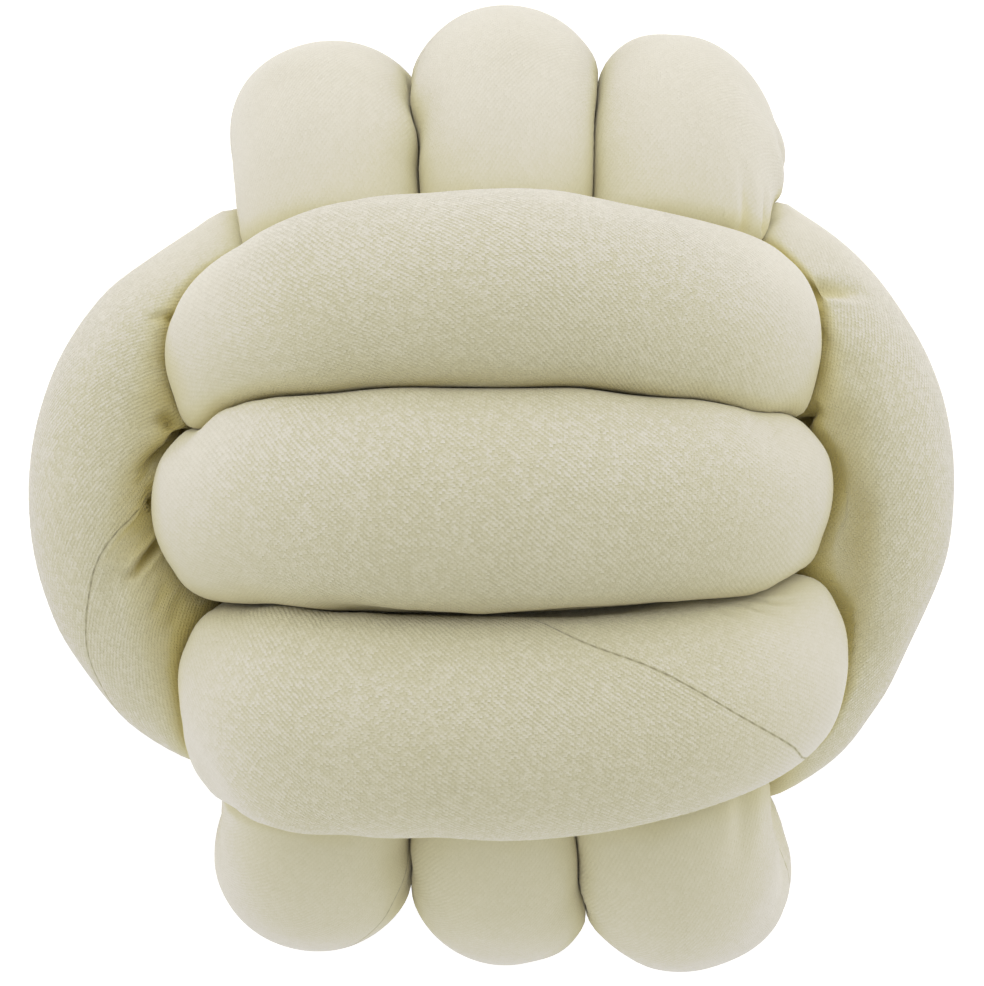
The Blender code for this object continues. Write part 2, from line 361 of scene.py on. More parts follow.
@dataclass
class MiddleLine:
    """The tube's middle line as points, and what goes with each.

    Attributes:
        centres: a point a row, in metres.
        radii: the stuffed radius.
        spots: the length of tube up to the point.
        length: the whole length of the closed tube.
        tangents: the tube's direction.
        sides: an axis across the tube, carried along it with the least twist that closes.
        ups: the other axis across it.
    """

    centres: np.ndarray
    radii: np.ndarray
    spots: np.ndarray
    length: float
    tangents: np.ndarray = field(init=False)
    sides: np.ndarray = field(init=False)
    ups: np.ndarray = field(init=False)

    def __post_init__(self) -> None:
        """Works out the directions along the tube and across it."""
        ahead = np.roll(self.centres, -1, 0) - np.roll(self.centres, 1, 0)
        self.tangents = ahead / np.linalg.norm(ahead, axis=1, keepdims=True)
        side = np.cross(self.tangents[0], (0.0, 0.0, 1.0))
        sides = [side / np.linalg.norm(side)]
        for tangent in np.vstack((self.tangents[1:], self.tangents[:1])):
            side = sides[-1] - tangent * (sides[-1] @ tangent)
            sides.append(side / np.linalg.norm(side))
        last = sides.pop()
        twist = math.atan2(np.cross(last, sides[0]) @ self.tangents[0], last @ sides[0])
        first = np.array(sides)
        second = np.cross(self.tangents, first)
        turned = (self.spots * twist / self.length)[:, None]
        self.sides = first * np.cos(turned) + second * np.sin(turned)
        self.ups = second * np.cos(turned) - first * np.sin(turned)

    def distance_along(self, spot: float) -> np.ndarray:
        """The length of tube between each point and a spot, the shorter way round."""
        apart = np.abs(self.spots - spot)
        return np.minimum(apart, self.length - apart)

    def nearest(self, point: np.ndarray) -> int:
        """The number of the point that is nearest to another."""
        return int(np.linalg.norm(self.centres - point, axis=1).argmin())


@dataclass
class TubeRoute:
    """The way of the tube through the ball, coil after coil."""

    coils: tuple[Coil, ...] = (FINGERS, BAND, ARCS)
    waist: float = 56.0  # mm from a coil's middle line to its hidden long sides
    pinch: float = 0.52  # how far the turns close up there
    near_share: float = 0.8  # how far the tube has moved on to its next turn by there
    bend_share: float = 0.4  # and to a leg's place in the stack, halfway round a bend
    thin_share: float = 0.2  # and to a leg's radius
    curve_steps: int = 40  # between two points of the route
    shown_reach: float = 90.0 * MM  # steps start to lengthen this near the ball's middle
    hidden_fade: float = 40.0 * MM  # and are longest this much further in
    back_height: float = 20.0 * MM  # they also do from this height above the middle
    back_fade: float = 30.0 * MM  # and are longest this much lower

    def leg_rows(self, coil: Coil, bight: Bight, end: int, near: bool) -> list[tuple]:
        """Rows down one leg of a bight.

        Args:
            coil: the coil that the bight is in.
            bight: the bight.
            end: the sign of its end along the coil.
            near: whether the leg is on the coil's near side.

        Returns:
            Stack, long and short coordinates and radius: the leg, and halfway round.
        """
        side = coil.near_side if near else -coil.near_side
        across = side * (bight.near if near else bight.far)
        leg_stack = bight.near_stack if near else bight.far_stack
        part = math.sin(math.pi / 4.0)
        stack = bight.stack + (leg_stack - bight.stack) * self.bend_share
        halfway = bight.reach - bight.bend * (1.0 - part)
        radius = bight.leg_radius or bight.radius
        between = bight.radius + (radius - bight.radius) * self.thin_share
        return [
            (leg_stack, end * (bight.reach - bight.bend), across, radius),
            (stack, end * halfway, across * part, between),
        ]

    def bight_rows(self, coil: Coil, number: int) -> list[tuple]:
        """Rows round one bight, from the leg that the tube arrives by to the other.

        Args:
            coil: the coil that the bight is in.
            number: the bight's number.

        Returns:
            Stack, long and short coordinates and radius.
        """
        bight = coil.bights[number]
        end = coil.end(number)
        arrives_near = number % 2 == 0
        arriving = self.leg_rows(coil, bight, end, arrives_near)
        leaving = self.leg_rows(coil, bight, end, not arrives_near)
        return arriving + [(bight.stack, end * bight.reach, 0.0, bight.radius)] + leaving[::-1]

    def waist_row(self, coil: Coil, number: int) -> tuple:
        """The row between one bight and the next, where other coils hide the tube.

        Args:
            coil: the coil that they are in.
            number: the first bight's number.

        Returns:
            Stack, long and short coordinates and radius.
        """
        before, after = coil.bights[number], coil.bights[number + 1]
        near = number % 2 == 1
        side = coil.near_side if near else -coil.near_side
        share = self.near_share if near else 0.5
        stack = before.stack + (after.stack - before.stack) * share
        radius = sum(bight.leg_radius or bight.radius for bight in (before, after)) / 2.0
        return (self.pinch * stack, 0.0, side * self.waist, radius)

    def coil_rows(self, coil: Coil) -> list[tuple]:
        """Rows along a coil and its lead.

        Args:
            coil: the coil.

        Returns:
            X, Y, Z and radius, in millimetres.
        """
        local = self.bight_rows(coil, 0)
        for number in range(len(coil.bights) - 1):
            local.append(self.waist_row(coil, number))
            local += self.bight_rows(coil, number + 1)
        rows = [(*point, coil.bights[0].radius) for point in coil.lead]
        return rows + [(*np.roll(row[:3], coil.roll), row[3]) for row in local]

    def curve(self) -> np.ndarray:
        """A smooth closed curve through all rows of all coils.

        Returns:
            Points and radii at close steps, in metres, with the first one again at the end.
        """
        rows = np.array([row for coil in self.coils for row in self.coil_rows(coil)]) * MM
        size = len(rows)
        ring = 4.0 * np.eye(size) + np.roll(np.eye(size), 1, 0) + np.roll(np.eye(size), -1, 0)
        poles = np.linalg.solve(ring, 6.0 * rows)
        time = np.arange(self.curve_steps * size) / self.curve_steps
        span = time.astype(int)
        t = (time - span)[:, None]
        a, b, c, d = (poles[(span + shift) % size] for shift in (-1, 0, 1, 2))
        points = a * (1.0 - t) ** 3 + b * (3.0 * t**3 - 6.0 * t**2 + 4.0)
        points += c * (-3.0 * t**3 + 3.0 * t**2 + 3.0 * t + 1.0) + d * t**3
        return np.vstack((points, points[:1])) / 6.0

    def middle_line(
        self, count: int, hidden_step: float = 1.0, back_step: float = 1.0
    ) -> MiddleLine:
        """The middle line at steps that are even, or longer where the tube shows less.

        Args:
            count: how many points.
            hidden_step: how much longer a step is deep inside the ball.
            back_step: and how much longer under the ball.

        Returns:
            The middle line.
        """
        curve = self.curve()
        steps = np.linalg.norm(np.diff(curve[:, :3], axis=0), axis=1)
        along = np.concatenate(([0.0], np.cumsum(steps)))
        out = np.linalg.norm(curve[:-1, :3], axis=1)
        inside = np.clip((self.shown_reach - out) / self.hidden_fade, 0.0, 1.0)
        under = np.clip((self.back_height - curve[:-1, 2]) / self.back_fade, 0.0, 1.0)
        longer = (1.0 + (hidden_step - 1.0) * inside) * (1.0 + (back_step - 1.0) * under)
        effort = np.concatenate(([0.0], np.cumsum(steps / longer)))
        spots = np.interp(np.arange(count) * effort[-1] / count, effort, along)
        even = np.stack([np.interp(spots, along, column) for column in curve.T], axis=1)
        return MiddleLine(even[:, :3], even[:, 3], spots, along[-1])

    def places(self) -> list[Place]:
        """Every bight of every coil."""
        return [Place(coil.name, bight) for coil in self.coils for bight in range(len(coil.bights))]

    def tip(self, place: Place) -> np.ndarray:
        """Where the middle line rounds a bight.

        Args:
            place: the bight.

        Returns:
            The tip, in metres from the ball's middle.
        """
        coil = next(coil for coil in self.coils if coil.name is place.coil)
        bight = coil.bights[place.bight]
        return np.roll((bight.stack, coil.end(place.bight) * bight.reach, 0.0), coil.roll) * MM


@dataclass
class Cloth:
    """The tube's cloth as a closed sheet of points, stations along it by columns round it.

    Attributes:
        line: the tube's middle line, a point a station.
        points: in metres from the ball's middle.
        normals: outward.
        nooks: how shaded the cloth is, 0 to 1.
        around: the length of cloth round the tube from the seam, in metres.
        lag: how far round the tube the seam has left its rib at each station, in metres.
    """

    line: MiddleLine
    points: np.ndarray
    normals: np.ndarray
    nooks: np.ndarray
    around: np.ndarray
    lag: np.ndarray

    def between(self, rows: np.ndarray, columns: np.ndarray) -> tuple[np.ndarray, np.ndarray]:
        """The cloth between its points, on smooth curves through them.

        Args:
            rows: whole and part stations.
            columns: whole and part columns.

        Returns:
            A point for each pair, and a normal.
        """
        sheet = np.concatenate((self.points, self.normals), axis=2)
        row, column = np.floor(rows).astype(int), np.floor(columns).astype(int)
        shares = [
            (
                (2.0 * t**2 - t - t**3) / 2.0,
                (2.0 - 5.0 * t**2 + 3.0 * t**3) / 2.0,
                (t + 4.0 * t**2 - 3.0 * t**3) / 2.0,
                (t**3 - t**2) / 2.0,
            )
            for t in (rows - row, columns - column)
        ]
        total = np.zeros((len(rows), sheet.shape[2]))
        for i, along in enumerate(shares[0]):
            for j, around in enumerate(shares[1]):
                at = (row + i - 1) % sheet.shape[0], (column + j - 1) % sheet.shape[1]
                total += (along * around)[:, None] * sheet[at]
        return total[:, :3], total[:, 3:]


@dataclass
class LaidFold:
    """A fold laid on the cloth of its strand.

    Attributes:
        crease: the fold.
        strand: which stations are on the strand.
        path: points along the fold, in metres from the ball's middle.
        lip_place: how many widths beside the fold its lips stand.
        lip_width: how many widths broad they are.
    """

    crease: Crease
    strand: np.ndarray
    path: np.ndarray
    lip_place: float = 1.9
    lip_width: float = 0.9

    def apart(self, points: np.ndarray) -> tuple[np.ndarray, np.ndarray]:
        """How far points are from the fold.

        Args:
            points: any array of points.

        Returns:
            The distances, and the share of the path up to where each is nearest.
        """
        nearest = np.full(points.shape[:-1], math.inf)
        where = np.zeros(points.shape[:-1])
        for number, spot in enumerate(self.path):
            gap = np.linalg.norm(points - spot, axis=-1)
            where = np.where(gap < nearest, number / max(len(self.path) - 1, 1), where)
            nearest = np.minimum(gap, nearest)
        return nearest, where

    def depth(self, points: np.ndarray) -> np.ndarray:
        """How far the fold lowers the cloth, negative where its lips lift it.

        Args:
            points: any array of points of its strand.

        Returns:
            Depths in metres.
        """
        nearest, where = self.apart(points)
        share = np.sin(math.pi * where) if self.crease.even else 1.0 - where**2
        width = self.crease.width * MM
        beside = (nearest - self.lip_place * width) / (self.lip_width * width)
        trough = np.exp(-((nearest / width) ** 2)) * self.crease.depth
        return (trough - np.exp(-(beside**2)) * self.crease.lip) * share * MM


@dataclass
class KnitTube:
    """The stuffed tube of knit cloth, its seam and its folds."""

    route: TubeRoute = field(default_factory=TubeRoute)
    # The sheet: points along the tube and round it, and where they stand closer
    stations: int = 1215
    columns: int = 78
    hidden_step: float = 5.0
    back_step: float = 1.8
    angle_steps: int = 720  # round the tube, that columns are placed by
    seam_crowding: float = 6.0  # how much closer columns stand at the seam
    seam_spread: float = 0.12  # radians
    shown_crowding: float = 2.0  # and how much closer on the side that shows
    shown_spread: float = 1.2  # radians
    shown_rise: float = 1.5  # how far that side leans up from straight out of the ball
    join: float = 1e-3 * MM
    # The stuffing
    samples: int = 2200  # points that the sections are pressed against
    own_run: float = 9.0 * MM  # of tube to each side, which don't press on a section
    gap: float = 0.15 * MM  # left between turns that press on each other
    firmness: float = 34.0  # how sharply a round section turns into a flattened contact
    packing: float = 0.8  # how much further a run inside the ball swells towards its middle
    inner_reach: float = 56.0 * MM  # a run is inside the ball up to here
    swell_core: float = 20.0 * MM  # around the middle, from where no way is inwards
    least_reach: float = 1.0 * MM
    tautenings: int = 3  # passes that draw in the cloth's peaks
    peak: float = 1.015  # the most that a point may stand out from those around it
    lumps: tuple = ((48.0 * MM, 0.8 * MM), (17.0 * MM, 0.22 * MM))  # sizes and swings
    tucked_from: float = 1.02  # lumps fade where cloth would reach this much further if free
    tucked_fade: float = 0.18
    # The seam and the ribs
    twist: float = 0.8  # sideways travel of the seam for each length of tube
    inner_run: float = 55.0 * MM  # of tube to each side of a tip where the seam stays inside
    rib_lean: float = 0.80  # radians from the tube's length to the ribs
    # The folds
    bight_reach: float = 120.0 * MM  # of tube to each side of a tip that its folds lie on
    fine_folds: float = 3.0  # mm; narrower folds are pressed into cloth cut finer
    fine_cuts: int = 2
    fold_spread: float = 3.2  # how many times its width a fold's finer cloth reaches
    fold_edge: float = 1.0  # mm that it reaches further
    fold_shade: float = 0.14  # how much more shaded each mm of a narrow fold is
    whole: float = 0.01  # how near a whole row or column counts as one
    # Where the cloth is shaded
    nook_rays: int = 20
    nook_step: int = 2  # stations and columns between the points that rays leave
    nook_start: float = 0.4 * MM
    nook_reach: float = 50.0 * MM
    finger_nooks: float = 0.65  # how strongly each coil's painted shade counts
    band_nooks: float = 0.85
    arc_nooks: float = 1.5
    upper_light: float = 1.2  # how much less shaded cloth is that faces +Y
    most_light: float = 0.85
    # Where the cloth is slack, so that its ribs show
    slack_to: float = 34.0 * MM  # of tube to each side of a tip
    stretched_at: float = 80.0 * MM
    least_slack: float = 0.2
    finger_slack: float = 0.4

    def column_angles(self, shown: np.ndarray) -> np.ndarray:
        """Angles of the columns round the tube from the seam: they stand closer beside it,
        and on the side that shows.

        Args:
            shown: the angle from the seam to the side that shows, at each station.

        Returns:
            Angles, stations by columns.
        """
        fine = np.linspace(0.0, TURN, self.angle_steps + 1)
        beside = np.minimum(fine, TURN - fine) / self.seam_spread
        away = np.abs((fine - shown[:, None] + math.pi) % TURN - math.pi)
        density = 1.0 + self.seam_crowding * np.exp(-(beside**2))
        density = density + self.shown_crowding * np.exp(-((away / self.shown_spread) ** 2))
        total = np.cumsum((density[:, 1:] + density[:, :-1]) / 2.0, axis=1)
        total = np.hstack((np.zeros((len(shown), 1)), total))
        share = np.arange(self.columns) / self.columns
        return np.stack([np.interp(share * row[-1], row, fine) for row in total])

    def seam_angles(self, line: MiddleLine) -> np.ndarray:
        """Where the seam runs round the tube, through its marks and twisting between them.

        Args:
            line: the tube's middle line.

        Returns:
            The seam's angle between the two axes at each point.
        """
        knots = sorted(knot for mark in SEAM_MARKS for knot in self.seam_knots(line, mark))
        knots.append((knots[0][0] + line.length, knots[0][1]))
        rate = self.twist / float(line.radii.mean())
        spots, angles = [knots[0][0]], [knots[0][1]]
        for spot, angle in knots[1:]:
            natural = angles[-1] + rate * (spot - spots[-1])
            angles.append(angle + TURN * round((natural - angle) / TURN))
            spots.append(spot)
        early = line.spots < spots[0]
        turned = self.smooth_curve(
            np.array(spots), np.array(angles), np.where(early, line.spots + line.length, line.spots)
        )
        return np.where(early, turned - (angles[-1] - angles[0]), turned)

    def seam_knots(self, line: MiddleLine, mark: SeamMark) -> list[tuple[float, float]]:
        """Where a mark puts the seam.

        Args:
            line: the tube's middle line.
            mark: the mark.

        Returns:
            Spots along the tube, and the seam's angle between the two axes at each.
        """
        if mark.point is None:
            station = line.nearest(self.route.tip(mark.place))
            across = -line.centres[station]
            runs = (-self.inner_run, self.inner_run)
        else:
            point = np.array(mark.point) * MM
            apart = np.linalg.norm(line.centres - point, axis=1)
            apart[self.stretch(line, mark.place) > 1.0] = math.inf
            station = int(apart.argmin())
            across = point - line.centres[station]
            runs = (across @ line.tangents[station],)
        angle = math.atan2(across @ line.ups[station], across @ line.sides[station])
        return [(float(line.spots[station] + run) % line.length, angle) for run in runs]

    @staticmethod
    def smooth_curve(spots: np.ndarray, values: np.ndarray, where: np.ndarray) -> np.ndarray:
        """A smooth curve through given values.

        Args:
            spots: where they are, in order.
            values: the values.
            where: where the curve is wanted.

        Returns:
            The curve's values there.
        """
        runs = np.diff(spots)
        rises = np.diff(values) / runs
        slopes = np.concatenate((rises[:1], (rises[1:] + rises[:-1]) / 2.0, rises[-1:]))
        span = np.clip(np.searchsorted(spots, where, side="right") - 1, 0, len(runs) - 1)
        t = (where - spots[span]) / runs[span]
        start, end = values[span], values[span + 1]
        lean, leave = slopes[span] * runs[span], slopes[span + 1] * runs[span]
        bend = 3.0 * (end - start) - 2.0 * lean - leave
        return start + lean * t + bend * t**2 + (lean + leave - 2.0 * (end - start)) * t**3

    def stretch(self, line: MiddleLine, place: Place) -> np.ndarray:
        """How far each point of the tube is from a bight's tip, as a share of its stretch."""
        tip = line.spots[line.nearest(self.route.tip(place))]
        return line.distance_along(tip) / self.bight_reach

    def pressed(self, line: MiddleLine, directions: np.ndarray) -> tuple[np.ndarray, np.ndarray]:
        """How far every section reaches: round, swollen inwards inside the ball, and pressed
        flat against any other run, further over where it is the thicker.

        Args:
            line: the tube's middle line.
            directions: outward directions, stations by columns.

        Returns:
            The reach in each direction, and how far it would reach if nothing pressed.
        """
        others = self.route.middle_line(self.samples)
        reach = np.empty(directions.shape[:2])
        unpressed = np.empty(directions.shape[:2])
        for station, centre in enumerate(line.centres):
            pressing = others.distance_along(line.spots[station]) > self.own_run
            inside = min(max(2.0 - np.abs(centre).max() / self.inner_reach, 0.0), 1.0)
            ways = directions[station]
            inwards = -(ways @ centre) / (np.linalg.norm(centre) + self.swell_core)
            free = 1.0 + self.packing * inside * np.maximum(inwards, 0.0)
            free *= line.radii[station]
            offsets = others.centres[pressing] - centre
            facing = 2.0 * ways @ offsets.T
            firmer = line.radii[station] ** 2 - others.radii[pressing] ** 2
            halfway = ((offsets**2).sum(axis=1) + firmer) / np.maximum(facing, TINY)
            contact = np.maximum(halfway.min(axis=1) - self.gap / 2.0, self.least_reach)
            both = free**-self.firmness + contact**-self.firmness
            reach[station] = both ** (-1.0 / self.firmness)
            unpressed[station] = free
        for _ in range(self.tautenings):
            around = sum(np.roll(reach, step, axis) for step in (-1, 1) for axis in (0, 1)) / 4.0
            reach = np.minimum(reach, self.peak * around)
        return reach, unpressed

    @staticmethod
    def outward(points: np.ndarray, directions: np.ndarray) -> np.ndarray:
        """The cloth's outward normals.

        Args:
            points: the cloth, stations by columns.
            directions: roughly outward directions.

        Returns:
            Unit normals of the same shape.
        """
        along = np.roll(points, -1, 0) - np.roll(points, 1, 0)
        around = np.roll(points, -1, 1) - np.roll(points, 1, 1)
        normals = np.cross(along, around)
        normals /= np.maximum(np.linalg.norm(normals, axis=2, keepdims=True), TINY)
        return normals * np.sign((normals * directions).sum(axis=2, keepdims=True))

    @staticmethod
    def nudged(points: np.ndarray) -> np.ndarray:
        """The cloth with the pulls of wrapping and handling, which shift strands together.

        Args:
            points: the cloth around the ball's middle.

        Returns:
            The same, pulled.
        """
        for nudge in NUDGES:
            apart = np.linalg.norm(points - np.array(nudge.point) * MM, axis=-1)
            share = np.maximum(1.0 - (apart / (nudge.reach * MM)) ** 2, 0.0) ** 2
            points = points + share[..., None] * np.array(nudge.shift) * MM
        return points

    def unevenness(self, points: np.ndarray) -> np.ndarray:
        """How far the filling lifts the cloth unevenly.

        Args:
            points: the cloth around the ball's middle.

        Returns:
            The lift at each point, in metres.
        """
        flat = points.reshape(-1, 3)
        height = np.zeros(len(flat))
        for size, swing in self.lumps:
            height += [swing * noise.noise(Vector(point / size)) for point in flat]
        return height.reshape(points.shape[:2])

    def laid(
        self, line: MiddleLine, points: np.ndarray, normals: np.ndarray, fine: bool
    ) -> list[LaidFold]:
        """The narrow or the broad folds, laid on the cloth of their strands.

        Args:
            line: the tube's middle line.
            points: the cloth around the ball's middle.
            normals: its outward normals.
            fine: whether the narrow folds are wanted.

        Returns:
            The folds.
        """
        folds = []
        for crease in CREASES:
            if (crease.width < self.fine_folds) is fine:
                strand = self.stretch(line, crease.place) < 1.0
                flat, ways = points[strand].reshape(-1, 3), normals[strand].reshape(-1, 3)
                path = []
                for spot in crease.steps():
                    near = ((flat - spot) ** 2).sum(axis=1).argmin()
                    path.append(spot - ways[near] * ((spot - flat[near]) @ ways[near]))
                folds.append(LaidFold(crease, strand, np.array(path)))
        return folds

    def rays(self) -> list[Vector]:
        """Directions spread evenly over the open side of level cloth.

        Returns:
            Directions with +Z away from the cloth.
        """
        ways = []
        for ray in range(self.nook_rays):
            rise = math.sqrt((ray + 0.5) / self.nook_rays)
            turn = ray * math.pi * (3.0 - math.sqrt(5.0))
            level = math.sqrt(1.0 - rise * rise)
            ways.append(Vector((level * math.cos(turn), level * math.sin(turn), rise)))
        return ways

    def closed_in(self, points: np.ndarray, normals: np.ndarray) -> np.ndarray:
        """How closed in the cloth is by other cloth around it.

        Args:
            points: the cloth.
            normals: its outward normals.

        Returns:
            A share at each point: 0 in the open, 1 where nothing open can be seen.
        """
        index = np.arange(points[..., 0].size).reshape(points.shape[:2])
        beside = np.roll(index, -1, 1)
        faces = np.stack((index, beside, np.roll(beside, -1, 0), np.roll(index, -1, 0)), axis=2)
        tree = BVHTree.FromPolygons(points.reshape(-1, 3).tolist(), faces.reshape(-1, 4).tolist())
        ways = self.rays()
        rows = range(0, self.stations, self.nook_step)
        columns = range(0, self.columns, self.nook_step)
        closed = np.zeros((len(rows), len(columns)))
        for i, station in enumerate(rows):
            for j, column in enumerate(columns):
                normal = Vector(normals[station, column])
                turned = normal.to_track_quat("Z", "Y")
                start = Vector(points[station, column]) + normal * self.nook_start
                hits = sum(
                    tree.ray_cast(start, turned @ way, self.nook_reach)[0] is not None
                    for way in ways
                )
                closed[i, j] = hits / len(ways)
        # A few rays count coarsely, so the count is evened out along the tube
        closed = (np.roll(closed, 1, 0) + 2.0 * closed + np.roll(closed, -1, 0)) / 4.0
        closed = np.vstack((closed, closed[:1]))
        closed = np.hstack((closed, closed[:, :1]))
        at_rows = np.append(list(rows), self.stations)
        at_columns = np.append(list(columns), self.columns)
        wide = np.stack([np.interp(np.arange(self.columns), at_columns, row) for row in closed])
        return np.stack(
            [np.interp(np.arange(self.stations), at_rows, column) for column in wide.T], axis=1
        )

    def shading(self, line: MiddleLine, points: np.ndarray, normals: np.ndarray) -> np.ndarray:
        """How shaded the cloth is: how closed in, as its coil counts it, and less where it
        faces the light.

        Args:
            line: the tube's middle line.
            points: the cloth.
            normals: its outward normals.

        Returns:
            A share at each point.
        """
        counts = {
            CoilName.FINGERS: self.finger_nooks,
            CoilName.BAND: self.band_nooks,
            CoilName.ARCS: self.arc_nooks,
        }
        places = self.route.places()
        nearest = np.argmin([self.stretch(line, place) for place in places], axis=0)
        shares = np.array([counts[place.coil] for place in places])[nearest]
        nooks = np.minimum(self.closed_in(points, normals) * shares[:, None], 1.0)
        # Less painted shade where the cloth faces +Y, the side the light comes from
        return nooks * (1.0 - np.clip(self.upper_light * normals[..., 1], 0.0, self.most_light))

    def slack(self, line: MiddleLine) -> np.ndarray:
        """How slack the cloth is at each station, so that its ribs show: less where it is
        stretched into the ball, and less on the fingers.

        Args:
            line: the tube's middle line.

        Returns:
            A share at each station.
        """
        slack = np.full(len(line.spots), self.least_slack)
        for place in self.route.places():
            most = self.finger_slack if place.coil is CoilName.FINGERS else 1.0
            run = self.stretch(line, place) * self.bight_reach
            share = np.clip((self.stretched_at - run) / (self.stretched_at - self.slack_to), 0, 1)
            share = share * share * (3.0 - 2.0 * share)
            slack = np.maximum(slack, self.least_slack + (most - self.least_slack) * share)
        return slack

    def cloth(self) -> Cloth:
        """The cloth: wound, stuffed, pressed together, and with its broad folds.

        Returns:
            The cloth.
        """
        line = self.route.middle_line(self.stations, self.hidden_step, self.back_step)
        seam = self.seam_angles(line)
        ways = line.centres.copy()
        ways[:, 2] += self.shown_rise * np.maximum(ways[:, 2], 0.0)
        shown = np.arctan2((ways * line.ups).sum(axis=1), (ways * line.sides).sum(axis=1))
        turned = self.column_angles(shown - seam)
        angles = (seam[:, None] + turned)[..., None]
        directions = line.sides[:, None] * np.cos(angles) + line.ups[:, None] * np.sin(angles)
        reach, unpressed = self.pressed(line, directions)
        points = self.nudged(line.centres[:, None] + directions * reach[..., None])
        tucked = np.clip((unpressed / reach - self.tucked_from) / self.tucked_fade, 0.0, 1.0)
        lift = self.unevenness(points) * (1.0 - tucked)
        normals = self.outward(points, directions)
        for fold in self.laid(line, points, normals, fine=False):
            lift[fold.strand] -= fold.depth(points[fold.strand])
        points += normals * lift[..., None]
        points[..., 2] = np.maximum(points[..., 2], -MIDDLE.z)
        normals = self.outward(points, directions)
        # Painted shade for the cloth's colour, from how closed in it is
        nooks = self.shading(line, points, normals)
        lag = seam / TURN * GIRTH - line.spots * math.tan(self.rib_lean)
        return Cloth(line, points, normals, nooks, turned / TURN * GIRTH, lag)

    def lay_maps(self, sheet: bmesh.types.BMesh, cloth: Cloth) -> None:
        """Gives the sheet its cloth coordinates, and those along and across its ribs.

        Args:
            sheet: a flat grid with coordinates from 0 to 1.
            cloth: the cloth.
        """
        grid_map = sheet.loops.layers.uv["grid"]
        cloth_map = sheet.loops.layers.uv.new("cloth")
        rib_map = sheet.loops.layers.uv.new("ribs")
        spots = np.append(cloth.line.spots, cloth.line.length)
        lag = np.append(cloth.lag, 2.0 * cloth.lag[-1] - cloth.lag[-2])
        around = np.hstack((cloth.around, np.full((self.stations, 1), GIRTH)))
        around = np.vstack((around, around[:1]))
        for face in sheet.faces:
            for loop in face.loops:
                u, v = loop[grid_map].uv
                station, column = round(u * self.stations), round(v * self.columns)
                loop[grid_map].uv = (station / self.stations, column / self.columns)
                spot, turned = spots[station], around[station, column]
                loop[cloth_map].uv = (spot, turned)
                across = (turned + lag[station]) * math.cos(self.rib_lean)
                ahead = (spot + across * math.sin(self.rib_lean)) / math.cos(self.rib_lean)
                loop[rib_map].uv = (ahead, across)

    def press_folds(self, sheet: bmesh.types.BMesh, cloth: Cloth) -> None:
        """Cuts the sheet finer around the narrow folds, and presses them into it.

        Args:
            sheet: the grid, placed on the cloth.
            cloth: the cloth.
        """
        folds = self.laid(cloth.line, cloth.points, cloth.normals, fine=True)
        beside = np.zeros(cloth.nooks.shape, dtype=bool)
        for fold in folds:
            reach = (self.fold_spread * fold.crease.width + self.fold_edge) * MM
            beside[fold.strand] |= fold.apart(cloth.points[fold.strand])[0] < reach
        grid_map = sheet.loops.layers.uv["grid"]
        painted_shade = sheet.verts.layers.float["painted_shade"]
        size = np.array((self.stations, self.columns))
        chosen = set()
        for vert in sheet.verts:
            at = np.round(np.array(vert.link_loops[0][grid_map].uv) * size).astype(int) % size
            if beside[tuple(at)]:
                chosen.add(vert)
        known = set(sheet.verts)
        edges = [edge for edge in sheet.edges if chosen.issuperset(edge.verts)]
        bmesh.ops.subdivide_edges(sheet, edges=edges, cuts=self.fine_cuts, use_grid_fill=True)
        moved = [vert for vert in sheet.verts if vert in chosen or vert not in known]
        places = np.array([vert.link_loops[0][grid_map].uv for vert in moved]) * size
        nearest = np.round(places)
        rows, columns = np.where(np.abs(places - nearest) < self.whole, nearest, places).T
        points, normals = cloth.between(rows, columns)
        lift = np.zeros(len(moved))
        for fold in folds:
            on = fold.strand[np.round(rows).astype(int) % self.stations]
            lift[on] -= fold.depth(points[on])
        points = points + normals * lift[:, None]
        for vert, point, rise in zip(moved, points, lift):
            vert.co = MIDDLE + Vector(point)
            # Narrow folds take more painted shade, the deeper they are
            vert[painted_shade] = min(vert[painted_shade] + self.fold_shade * max(-rise, 0.0) / MM, 1.0)

    def build(self) -> bpy.types.Object:
        """Bends a sheet of cloth round the route and closes it into a ring.

        Returns:
            The tube.
        """
        cloth = self.cloth()
        slack = self.slack(cloth.line)
        sheet = bmesh.new()
        sheet.loops.layers.uv.new("grid")
        # Painted shade for the cloth's colour, and how slack the cloth is
        painted_shade = sheet.verts.layers.float.new("painted_shade")
        slackness = sheet.verts.layers.float.new("slack")
        bmesh.ops.create_grid(
            sheet, x_segments=self.stations, y_segments=self.columns, size=0.5, calc_uvs=True
        )
        self.lay_maps(sheet, cloth)
        for vert in sheet.verts:
            station = round((vert.co.x + 0.5) * self.stations) % self.stations
            column = round((vert.co.y + 0.5) * self.columns) % self.columns
            vert.co = MIDDLE + Vector(cloth.points[station, column])
            vert[painted_shade] = cloth.nooks[station, column]
            vert[slackness] = slack[station]
        self.press_folds(sheet, cloth)
        edge = [vert for vert in sheet.verts if vert.is_boundary]
        bmesh.ops.remove_doubles(sheet, verts=edge, dist=self.join)
        bmesh.ops.recalc_face_normals(sheet, faces=sheet.faces)
        sheet.loops.layers.uv.remove(sheet.loops.layers.uv["grid"])
        tube = new_object("knit_tube", sheet)
        tube.data.shade_smooth()
        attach(tube, "root")
        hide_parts("knot_tube")
        return tube


def new_object(name: str, sheet: bmesh.types.BMesh) -> bpy.types.Object:
    """Turns a sheet into an object of the scene.

    Args:
        name: the object's name.
        sheet: its faces. The sheet is freed.

    Returns:
        The object.
    """
    mesh = bpy.data.meshes.new(name)
    sheet.to_mesh(mesh)
    sheet.free()
    thing = bpy.data.objects.new(name, mesh)
    bpy.context.scene.collection.objects.link(thing)
    return thing


